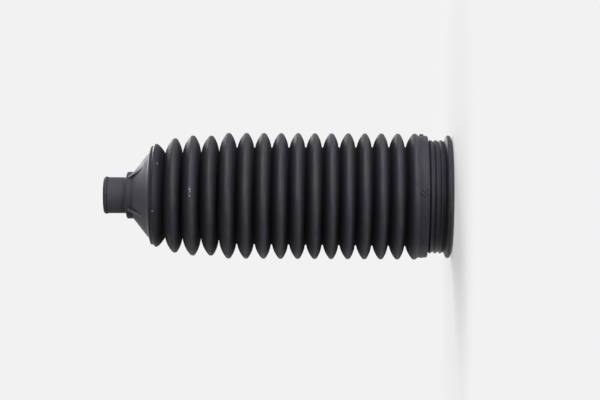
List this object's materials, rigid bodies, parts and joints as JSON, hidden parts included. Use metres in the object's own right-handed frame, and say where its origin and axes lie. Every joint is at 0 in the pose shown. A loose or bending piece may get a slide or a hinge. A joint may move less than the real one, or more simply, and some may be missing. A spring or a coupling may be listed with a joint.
{
  "type": "steering rack boot",
  "caption": "Rubber bellows that seals a steering rack: wide clamped collar at one end, folds that reduce to a cone, and a narrow cuff at the other.",
  "frame": {"origin": "centre of the large end's face, at the bottom of the boot", "axes": "+Z along the boot's axis, from the large end towards the small end; the gussets stand at 52 degrees and every 90 degrees from +X"},
  "size_m": [0.063, 0.063, 0.1736],
  "materials": {
    "rubber": "satin charcoal moulded rubber with a faint cool tint, fine mottling and light scuffs"
  },
  "bodies": {
    "root": {"rack_boot": "rubber"}
  },
  "joints": []
}
